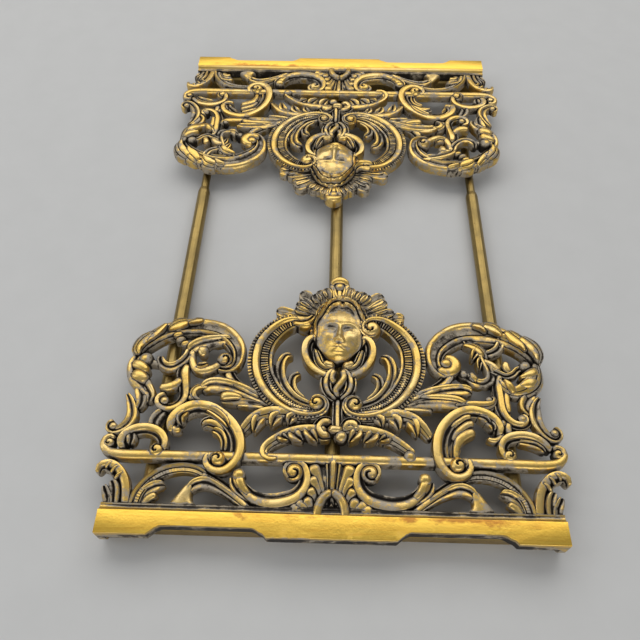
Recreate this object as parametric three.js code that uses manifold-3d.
// Folding, extending brass book stand ("bible stand").
// Two identical pierced cast end panels hinge flat, face up, over three telescopic rails that join
// two base bars. Millimetres, +Z up, origin on the table at the centre of the footprint.
import * as THREE from 'three';
import Module from 'manifold-3d';
import { mergeVertices } from 'three/addons/utils/BufferGeometryUtils.js';

// ---- driving dimensions -------------------------------------------------------------------
const RAIL_LENGTH = 160;        // length of the face rail of an end panel
const FEET_TO_FEET = 268.8;     // distance between the two feet edges, folded, as standing
const BAR_HEIGHT = 6.6;         // base bar, table to top
const BAR_INSET = 3.2;          // outer face of the bar behind the feet edge
const BAR_DEPTH = 8.8;          // base bar, outer to inner face
const PIN_Z = 5;                // hinge pin axis above the table, and behind the feet edge
const PIN_RADIUS = 1;
const PIN_GAP = 0.1;            // running clearance of the pin in the panel ear
const PIN_LENGTH = 7.6;
const EAR = 2.5;                // thickness of the hinge ear at each end of the rail
const EAR_GAP = 0.35;           // side clearance between ear and base bar
const BACK_Z = 7.0;             // back plane of the folded panel
const FACE_Z = 12.5;            // face plane of the rail
const FACE_S = 8.2;             // height of the rail face from the feet edge
const LEDGE_S = 11;             // top of the stepped ledge above the rail face
const LEDGE_Z = 10.2;
const NOTCH = [22.5, 62.5, 3];  // cut-out between the feet: from, to, depth
const RAIL_X = 66;              // outer rails left and right of the middle one
const RAIL_Z = 3.6;             // axis of the rails above the table
const TUBE_R = 2.9;
const TUBE_BORE = 2.35;
const TUBE_MOUTH = 2.2;         // rolled-in mouth that keeps the rod head inside
const TUBE_END = 37;            // free end of the tubes
const ROD_R = 2.0;
const ROD_HEAD = 2.28;
const ROD_INNER_END = -83;      // inner end of the rods when standing as shown
const SOCKET = 1.5;             // depth of the seat for a tube or rod end in a bar
const SCREW_R = 1.25;
const SCREW_HEAD = 2.1;
const SCREW_SINK = 0.6;         // head below the outer face, clear of the swinging panel
const SCREW_LENGTH = 13;
const SMOOTHING = 0.2;          // detail finer than this is left off the castings

const halfL = FEET_TO_FEET / 2;
const pinY = halfL - PIN_Z;
const outerY = halfL - BAR_INSET;
const innerY = outerY - BAR_DEPTH;
const headY = -outerY + SCREW_SINK;

// ---- finishes -----------------------------------------------------------------------------
const BRASS = {
  cast: { color: 0xa8884a, roughness: 0.42, metalness: 0.95 },
  bar: { color: 0xb3924d, roughness: 0.38, metalness: 0.95 },
  rail: { color: 0x9a8347, roughness: 0.34, metalness: 0.95 },
  steel: { color: 0x6f6a5c, roughness: 0.45, metalness: 0.9 },
};

const wasm = await Module();
wasm.setup();
const { Manifold, Mesh } = wasm;
const root = new THREE.Group();
root.name = 'bible_stand';

// ---- solids -------------------------------------------------------------------------------
function solid(geometry) {
  const g = geometry.index ? geometry.toNonIndexed() : geometry;
  const bare = new THREE.BufferGeometry();
  bare.setAttribute('position', g.getAttribute('position'));
  const m = mergeVertices(bare, 1e-4);
  const keep = [];
  const ix = m.index.array;
  for (let i = 0; i < ix.length; i += 3) {
    const [a, b, c] = [ix[i], ix[i + 1], ix[i + 2]];
    if (a !== b && b !== c && c !== a) keep.push(a, b, c);
  }
  return Manifold.ofMesh(new Mesh({
    numProp: 3,
    vertProperties: new Float32Array(m.getAttribute('position').array),
    triVerts: new Uint32Array(keep),
  }));
}

function toGeometry(manifold) {
  const m = manifold.getMesh();
  const g = new THREE.BufferGeometry();
  g.setAttribute('position', new THREE.BufferAttribute(new Float32Array(m.vertProperties), 3));
  g.setIndex(new THREE.BufferAttribute(new Uint32Array(m.triVerts), 1));
  const flat = g.toNonIndexed();
  flat.computeVertexNormals();
  return flat;
}

function place(parent, name, geometry, finish, [x, y, z]) {
  const mesh = new THREE.Mesh(geometry, new THREE.MeshStandardMaterial(BRASS[finish]));
  mesh.name = name;
  mesh.position.set(x, y, z);
  parent.add(mesh);
  return mesh;
}

const box = (w, d, h, x, y, z) => solid(new THREE.BoxGeometry(w, d, h)).translate([x, y, z]);

// A turned part from [radius, distance] pairs, its axis then laid along +Y.
function turned(profile, sides) {
  const pts = profile.map(([r, y]) => new THREE.Vector2(r, y));
  return solid(new THREE.LatheGeometry(pts, sides));
}

// A turned part whose axis is +X.
function turnedX(profile, sides) {
  return turned(profile, sides).rotate([0, 0, -90]);
}

// A profile in the (y, z) plane drawn out along X between two stations.
function alongX(outline, x0, x1) {
  const shape = new THREE.Shape(outline.map(([y, z]) => new THREE.Vector2(y, z)));
  const g = new THREE.ExtrudeGeometry(shape, { depth: x1 - x0, bevelEnabled: false });
  const swap = new THREE.Matrix4().set(0, 0, 1, x0, 1, 0, 0, 0, 0, 1, 0, 0, 0, 0, 0, 1);
  return solid(g.applyMatrix4(swap));
}

const arc = (cx, cy, r, a0, a1, n) => Array.from({ length: n + 1 }, (_, i) => {
  const a = ((a0 + ((a1 - a0) * i) / n) * Math.PI) / 180;
  return [cx + r * Math.cos(a), cy + r * Math.sin(a)];
});

// ---- ornament of the cast panel ------------------------------------------------------------
// A stroke is a list of [x, s, half width]: x from the middle, s from the feet edge. The line is
// smoothed, then given a flat back and either a ridge or a flat crest.
function stroke(points, { top = 10.8, back = BACK_Z, crest = 0, fine = 1 } = {}) {
  const curve = new THREE.CatmullRomCurve3(points.map((p) => new THREE.Vector3(...p)), false, 'centripetal');
  const count = (points.length - 1) * fine;
  const rings = [];
  for (let i = 0; i <= count; i += 1) {
    const p = curve.getPoint(i / count);
    const t = curve.getTangent(i / count);
    const len = Math.hypot(t.x, t.y) || 1;
    const n = [-t.y / len, t.x / len];
    const w = Math.max(p.z, 0.35);
    const at = (u, z) => [p.x + n[0] * u * w, p.y + n[1] * u * w, z];
    const crown = crest > 0 ? [at(crest, top), at(-crest, top)] : [at(0, top)];
    rings.push([at(-1, back), at(1, back), ...crown]);
  }
  return loft(rings);
}

// Closed skin over a row of matching rings.
function loft(rings) {
  const m = rings[0].length;
  const pos = rings.flat(2);
  const tri = [];
  for (let i = 0; i < rings.length - 1; i += 1) {
    for (let j = 0; j < m; j += 1) {
      const a = i * m + j;
      const b = i * m + ((j + 1) % m);
      tri.push(a, b, b + m, a, b + m, a + m);
    }
  }
  for (let j = 1; j < m - 1; j += 1) {
    tri.push(0, j + 1, j);
    const e = (rings.length - 1) * m;
    tri.push(e, e + j, e + j + 1);
  }
  const g = new THREE.BufferGeometry();
  g.setAttribute('position', new THREE.BufferAttribute(new Float32Array(pos), 3));
  g.setIndex(tri);
  const out = solid(g);
  return out.volume() < 0 ? solid(flip(g)) : out;
}

function flip(g) {
  const ix = Array.from(g.index.array);
  for (let i = 0; i < ix.length; i += 3) [ix[i], ix[i + 1]] = [ix[i + 1], ix[i]];
  g.setIndex(ix);
  return g;
}

// A domed eye in the middle of a volute.
function boss(x, s, r, top = 11.6, sides = 8) {
  const h = top - BACK_Z;
  const dome = [[0, 0], [r, 0], [r, h - 0.5 * r], [0.5 * r, h], [0, h]];
  return turned(dome, sides).rotate([90, 0, 0]).translate([x, s, BACK_Z]);
}

// An egg-shaped swelling that rises from the back plane.
function swelling(x, s, rx, rs, height, turns = 12) {
  const g = new THREE.SphereGeometry(1, turns, 6).scale(rx, rs, height);
  const half = box(60, 60, 40, 0, 0, 20);
  return solid(g).intersect(half).translate([x, s, BACK_Z]);
}

// Mirrored pairs, right side given.
const SIDE = [
  // round bar with its end volute
  { p: [[-2, 28.9, 2], [40, 28.9, 2], [79, 28.9, 1.9], [83.4, 31, 1.4], [83.6, 34, 1.1], [81.6, 35.4, 0.9]],
    top: 11.6, crest: 0.5 },
  // edge scroll above the bar
  { p: [[79, 56, 0.7], [76.6, 52, 1.5], [75.6, 47, 1.9], [77.4, 42, 1.9], [81, 38.6, 1.4], [83.6, 40.6, 1]] },
  // small scroll standing on the bar
  { p: [[64.6, 31, 1.9], [61.8, 34.6, 1.3], [64.6, 39, 1.3], [70, 40.3, 1.3], [76, 38.4, 1.2],
    [80, 33, 1.1]] },
  // tall scroll across the bar
  { p: [[47.6, 26.4, 1.3], [44.6, 23.6, 1.5], [40, 26, 2], [37.6, 32, 2.3], [39.6, 40, 2.3],
    [44.6, 46.8, 2.1], [51.6, 50, 2], [58, 48, 1.9], [61.6, 43, 1.5], [60, 39.4, 0.7]],
    top: 11.8, crest: 0.4 },
  { p: [[43, 29, 2.6], [42.6, 36, 3], [46, 41, 2.2], [52, 44.6, 0.8]], top: 9.8 },
  // gadrooned arch and its leaf
  { p: [[69.8, 9.6, 1.5], [68, 15.5, 1.5], [63.6, 20.8, 1.5], [57, 24.6, 1.5], [50, 24.6, 1.4],
    [43, 21, 1.3], [36, 16.2, 1.3], [29, 10.8, 1.4]], crest: 0.4 },
  { p: [[68, 11.6, 1], [63.6, 16, 1.6], [58.8, 17.6, 0.6]], top: 9.8 },
  { p: [[43, 20.6, 1.2], [48.6, 18.8, 1.5], [51.4, 14.4, 2.2], [51.8, 9.6, 3.4]] },
  // leafy end of the lower border
  { p: [[73.4, 9.6, 2.6], [73.4, 16, 2], [76, 21.8, 2], [79.8, 25.2, 1.9], [83.6, 22.6, 0.8]] },
  { p: [[76.8, 9.6, 1.8], [79, 14.6, 1.3], [78.4, 19, 0.5]], top: 9.6 },
  // palmette and the scroll beside it
  { p: [[1, 10, 1.6], [3.8, 20, 1.5], [7.4, 28, 1.6]] },
  { p: [[4, 9.8, 2.2], [8.6, 14, 2.4], [9.8, 20, 1.4]], top: 9.8 },
  { p: [[15.4, 24, 0.9], [13, 26.4, 0.9], [9.8, 24.4, 1.3], [9.8, 19.4, 1.6], [13, 15, 2.2], [19, 13, 2.8],
    [26, 13.4, 2.2], [31, 17, 1.6], [33, 22.4, 1.5]] },
  // sprays from the knot
  { p: [[1, 40, 2], [8, 40.4, 1.9], [14, 40, 1.6], [21, 38, 1.5], [26.6, 33.6, 1.4], [28.8, 29.6, 1.6]] },
  { p: [[7, 46.6, 1.3], [18, 47.2, 1.9], [27, 47, 2], [33, 44, 1.7], [37.6, 38, 1.1]] },
  // heart-shaped frame of the mask
  { p: [[6, 51.6, 1.1], [7, 48.4, 1.5], [13, 47, 1.9], [20.6, 50, 2.6], [27, 56.4, 3.2], [31.2, 64.6, 3.7],
    [31.8, 73.6, 3.8], [28.6, 81.4, 3.4], [22.6, 86.8, 2.9], [16, 88.4, 2.3], [11.6, 85.6, 2]],
  top: 11.6, crest: 0.45 },
  { p: [[28.2, 67, 1.2], [27.4, 60, 1.8], [22.4, 53.6, 2], [13, 48.8, 1.4]], top: 9.8 },
  { p: [[18.8, 72.4, 0.9], [23, 68.6, 1.3], [23.2, 61, 1.5], [18.4, 54, 1.5], [11, 48.6, 1.4]] },
  // leaf reaching outwards, its lower lobe and the stem to the side scroll
  { p: [[24, 51.6, 2], [33, 53.8, 2.7], [41, 56.2, 3], [48, 57.8, 2.4], [53.4, 57.6, 0.9]] },
  { p: [[27, 51.6, 1.6], [38, 52, 2.1], [48, 53.2, 2], [56, 53.2, 1.4], [61.2, 54.4, 1]], top: 9.8 },
  { p: [[34, 55, 1.4], [41, 60, 1.5], [44.6, 65.4, 1.5]], top: 9.8 },
  // side scroll with its leaf-wrapped back
  { p: [[48.4, 69.6, 1.3], [47.4, 66, 1.5], [43.4, 64.8, 1.7], [39.4, 67.4, 2], [37.8, 73, 2.4],
    [39.6, 79.6, 3], [44.6, 84.6, 3.3], [52, 87.2, 3.4], [60, 87.2, 3.4], [68, 84.4, 3.3], [74.6, 80, 3],
    [79.4, 74.6, 2.4], [80.4, 69, 1.8]], top: 11.4, crest: 0.4 },
  { p: [[80.4, 70.4, 1.6], [79.4, 65, 2.6], [76, 60, 2.8], [71.6, 57.8, 2], [67, 59.6, 1.7], [63, 64, 1.5]] },
  { p: [[75.6, 59, 2.4], [72.8, 53, 2.1], [75.4, 48, 1.4]], top: 9.8 },
  { p: [[63, 67, 1.5], [62.4, 58, 1.6], [63, 50, 1.5], [66, 45, 1.5], [70.4, 43.6, 1.3], [73.4, 46.6, 1]] },
  { p: [[66.4, 45.4, 1.4], [65.8, 39.4, 1.4]], top: 9.8 },
  { p: [[61.8, 43, 1.2], [65, 45.6, 1.2]], top: 9.8 },
  { p: [[48, 67, 1.2], [52.4, 63, 1.4], [56.8, 61, 1.4], [60.6, 63.4, 1.5], [61.2, 69, 1.5],
    [59.4, 75.4, 1.6], [55.6, 79.4, 1.5], [53, 84.6, 1.3]] },
  { p: [[80, 67.4, 1.4], [74.6, 68.6, 1.6], [68.6, 65.4, 1.2], [61.6, 67.6, 1.3]], top: 9.8 },
  { p: [[66.4, 83.6, 1.4], [65, 77, 1.3], [60, 74, 1.2]], top: 9.8 },
  // locks beside the chin
  { p: [[9.6, 80, 1.6], [13, 75.4, 1.5], [12.6, 69.6, 1.5], [8, 64, 1.6], [1.6, 61, 1.8]], top: 12 },
  { p: [[0.6, 66, 1.6], [5.6, 61, 1.5], [5.4, 56, 1.5], [0.4, 52.6, 1.8]] },
];

const EYES = [
  [81.6, 33.2, 1.7], [81.8, 41.6, 1.4], [44.4, 27.4, 2.5], [13, 24, 1.9], [8, 51, 2], [14.6, 84.8, 2.6],
  [44.8, 69.8, 2.5], [71.2, 47, 1.5],
];

function ornament() {
  const parts = [];
  for (const side of [1, -1]) {
    const mirror = (p) => p.map(([x, s, w]) => [side * x, s, w]);
    for (const { p, ...style } of SIDE) parts.push(stroke(mirror(p), style));
    for (const [x, s, r] of EYES) parts.push(boss(side * x, s, r));
    // fluted rays of the crown, in steps
    for (const [angle, reach] of [[8, 27.4], [21, 25], [34, 22.4], [47, 22.6], [60, 20.4], [74, 20]]) {
      const a = ((90 - side * (90 - angle)) * Math.PI) / 180;
      const at = (r, w) => [1.8 + r * Math.cos(a), 89 + r * Math.sin(a), w];
      parts.push(stroke([at(8, 1.8), at(reach - 2, 2.2), at(reach, 1.3)], { top: 9.2 }));
    }
  }
  // arch on the rail, palmette, knot, stem and crown tip on the middle line
  parts.push(stroke([[-5.4, 10, 1.4], [0, 16.6, 1], [5.4, 10, 1.4]], { top: 11.4, crest: 0.4 }));
  parts.push(stroke([[0, 10, 2.4], [0, 20, 2.2], [0.3, 28.8, 2.8]], { top: 10.6 }));
  parts.push(boss(1.4, 40.2, 3.4, 11.8));
  parts.push(stroke([[1.4, 37, 1.6], [1.6, 46, 2.2], [1.6, 54, 2.4], [1.6, 68, 2.8]], { top: 10.4 }));
  parts.push(stroke([[-9, 47.4, 1.2], [1.6, 46.4, 1.6], [9, 47.4, 1.2]], { top: 9.8 }));
  const tip = [[1.8, 98, 3.4], [1.8, 107, 4], [1.8, 112.4, 3.4], [1.8, 115, 1.8]];
  parts.push(stroke(tip, { top: 9.8, crest: 0.5 }));
  // mask: hair with its band, face, nose
  parts.push(swelling(2, 86.4, 12, 14.6, 5.6));
  parts.push(swelling(2, 81.8, 9.2, 13, 8));
  parts.push(stroke([[2, 87.6, 0.9], [2, 80.4, 1.9]], { top: 16.2, back: 12 }));
  return parts;
}

// One end casting, drawn folded: x, s above the feet edge, z up; the ears reach down to the pins.
function panelSolid() {
  const half = RAIL_LENGTH / 2;
  const section = [[0, BACK_Z], [LEDGE_S, BACK_Z], [LEDGE_S, LEDGE_Z], [FACE_S + 0.9, LEDGE_Z + 0.3],
    [FACE_S, FACE_Z], [0, FACE_Z]];
  let body = alongX(section, -half, half);
  const [n0, n1, depth] = NOTCH;
  for (const side of [1, -1]) {
    const outline = [[n0, -1], [n0, 0.4], [n0 + 1.4, depth - 0.7], [n0 + 4, depth], [n1 - 4, depth],
      [n1 - 1.4, depth - 0.7], [n1, 0.4], [n1, -1]].map(([x, s]) => new THREE.Vector2(side * x, s));
    const cut = new THREE.ExtrudeGeometry(new THREE.Shape(outline), { depth: 20, bevelEnabled: false });
    body = body.subtract(solid(cut));
    // hinge ear, rounded about the pin
    const ear = [[0, BACK_Z + 1], ...arc(PIN_Z, PIN_Z, PIN_Z, 180, 360, 10), [2 * PIN_Z, BACK_Z + 1]];
    body = body.add(alongX(ear, side > 0 ? half - EAR : -half, side > 0 ? half : -half + EAR));
  }
  body = Manifold.union([body, ...ornament()]);
  const bore = turnedX([[0, -half - 1], [PIN_RADIUS + PIN_GAP, -half - 1], [PIN_RADIUS + PIN_GAP, half + 1],
    [0, half + 1]], 12).translate([0, PIN_Z, PIN_Z]);
  return body.subtract(bore.subtract(box(140, 20, 20, 0, PIN_Z, PIN_Z)));
}

// ---- base bar -----------------------------------------------------------------------------
// Drawn at the front (feet towards -Y); the outer top corner is rounded about the pin, so that the
// opened panel comes to rest flat against the outer face.
function barSolid(seatRadius) {
  const reach = RAIL_LENGTH / 2 - EAR - EAR_GAP;
  const corner = PIN_Z - BAR_INSET;
  const flat = (Math.asin((BAR_HEIGHT - PIN_Z) / corner) * 180) / Math.PI;
  const outline = [[-outerY, 0.6], [-outerY + 0.6, 0], [-innerY - 0.4, 0], [-innerY, 0.4],
    [-innerY, BAR_HEIGHT - 0.8], [-innerY - 0.8, BAR_HEIGHT],
    ...arc(-pinY, PIN_Z, corner, 180 - flat, 180, 5)];
  let body = alongX(outline, -reach, reach);
  for (const side of [1, -1]) {
    const hole = turnedX([[0, 0], [PIN_RADIUS, 0], [PIN_RADIUS, 9], [0, 9]], 12);
    const depth = PIN_LENGTH - EAR - EAR_GAP;
    body = body.subtract((side > 0 ? hole : hole.scale([-1, 1, 1]))
      .translate([side * (reach - depth), -pinY, PIN_Z]));
  }
  for (const x of [-RAIL_X, 0, RAIL_X]) {
    const bore = turned([[0, -halfL - 1], [SCREW_HEAD + 0.2, -halfL - 1], [SCREW_HEAD + 0.2, headY + 0.1],
      [SCREW_R + 0.15, headY + 1.45], [SCREW_R + 0.15, -innerY - SOCKET], [seatRadius, -innerY - SOCKET],
      [seatRadius, -innerY + 1], [0, -innerY + 1]], 16);
    body = body.subtract(bore.translate([x, 0, RAIL_Z]));
  }
  return body;
}

// ---- assembly -----------------------------------------------------------------------------
const holes = [['left', -RAIL_X], ['middle', 0], ['right', RAIL_X]];
const seat = 0.06;
const railStart = -innerY - SOCKET + seat;
const plugLength = 8;

const panelShape = toGeometry(panelSolid().asOriginal().simplify(SMOOTHING));
const frontBarShape = toGeometry(barSolid(TUBE_R + 0.12));
const rearBarShape = toGeometry(barSolid(ROD_R + 0.12));

const pinShape = toGeometry(turnedX([[0, 0], [PIN_RADIUS - 0.02, 0], [PIN_RADIUS - 0.02, PIN_LENGTH - 0.3],
  [PIN_RADIUS - 0.4, PIN_LENGTH], [0, PIN_LENGTH]], 12));

const screwShape = toGeometry(turned([[0, 0], [SCREW_HEAD, 0], [SCREW_R, 1.2], [SCREW_R, SCREW_LENGTH - 0.6],
  [SCREW_R - 0.5, SCREW_LENGTH], [0, SCREW_LENGTH]], 12).subtract(box(6, 1.2, 0.6, 0, 0, 0)));

const tubeShape = toGeometry(turned([[TUBE_BORE, railStart], [TUBE_R, railStart], [TUBE_R, TUBE_END - 2.4],
  [TUBE_R - 0.35, TUBE_END - 0.6], [TUBE_MOUTH + 0.2, TUBE_END], [TUBE_MOUTH, TUBE_END - 0.3],
  [TUBE_MOUTH, TUBE_END - 1.6], [TUBE_BORE, TUBE_END - 2.2], [TUBE_BORE, railStart]], 20));

const plugShape = toGeometry(turned([[SCREW_R + 0.05, 0], [TUBE_BORE - 0.04, 0],
  [TUBE_BORE - 0.04, plugLength], [SCREW_R + 0.05, plugLength], [SCREW_R + 0.05, 0]], 16));

const rodShape = toGeometry(turned([[0, ROD_INNER_END], [ROD_HEAD - 0.5, ROD_INNER_END],
  [ROD_HEAD, ROD_INNER_END + 0.5], [ROD_HEAD, ROD_INNER_END + 4], [ROD_R, ROD_INNER_END + 4.4],
  [ROD_R, -railStart], [SCREW_R + 0.05, -railStart], [SCREW_R + 0.05, -railStart - 9],
  [0, -railStart - 9]], 16));

// Each end is drawn at the front; the rear one is the same turned half round.
for (const end of ['front', 'rear']) {
  const turnedHalf = end === 'rear';
  const group = new THREE.Group();
  group.rotation.z = turnedHalf ? Math.PI : 0;
  root.add(group);

  place(group, `${end}_panel`, panelShape, 'cast', [0, -halfL, 0]);
  place(group, `${end}_bar`, turnedHalf ? rearBarShape : frontBarShape, 'bar', [0, 0, 0]);

  for (const side of [1, -1]) {
    const label = (side > 0) === turnedHalf ? 'left' : 'right';
    const start = side * (RAIL_LENGTH / 2 + 0.05 - PIN_LENGTH);
    const pin = place(group, `${end}_pin_${label}`, pinShape, 'rail', [start, -pinY, PIN_Z]);
    pin.rotation.z = side > 0 ? 0 : Math.PI;
  }
  for (const [label, x] of holes) {
    const localX = turnedHalf ? -x : x;
    place(group, `${end}_screw_${label}`, screwShape, 'steel', [localX, headY, RAIL_Z]);
  }
}

for (const [label, x] of holes) {
  place(root, `tube_${label}`, tubeShape, 'rail', [x, 0, RAIL_Z]);
  place(root, `plug_${label}`, plugShape, 'rail', [x, railStart, RAIL_Z]);
  place(root, `rod_${label}`, rodShape, 'rail', [x, 0, RAIL_Z]);
}

export default root;
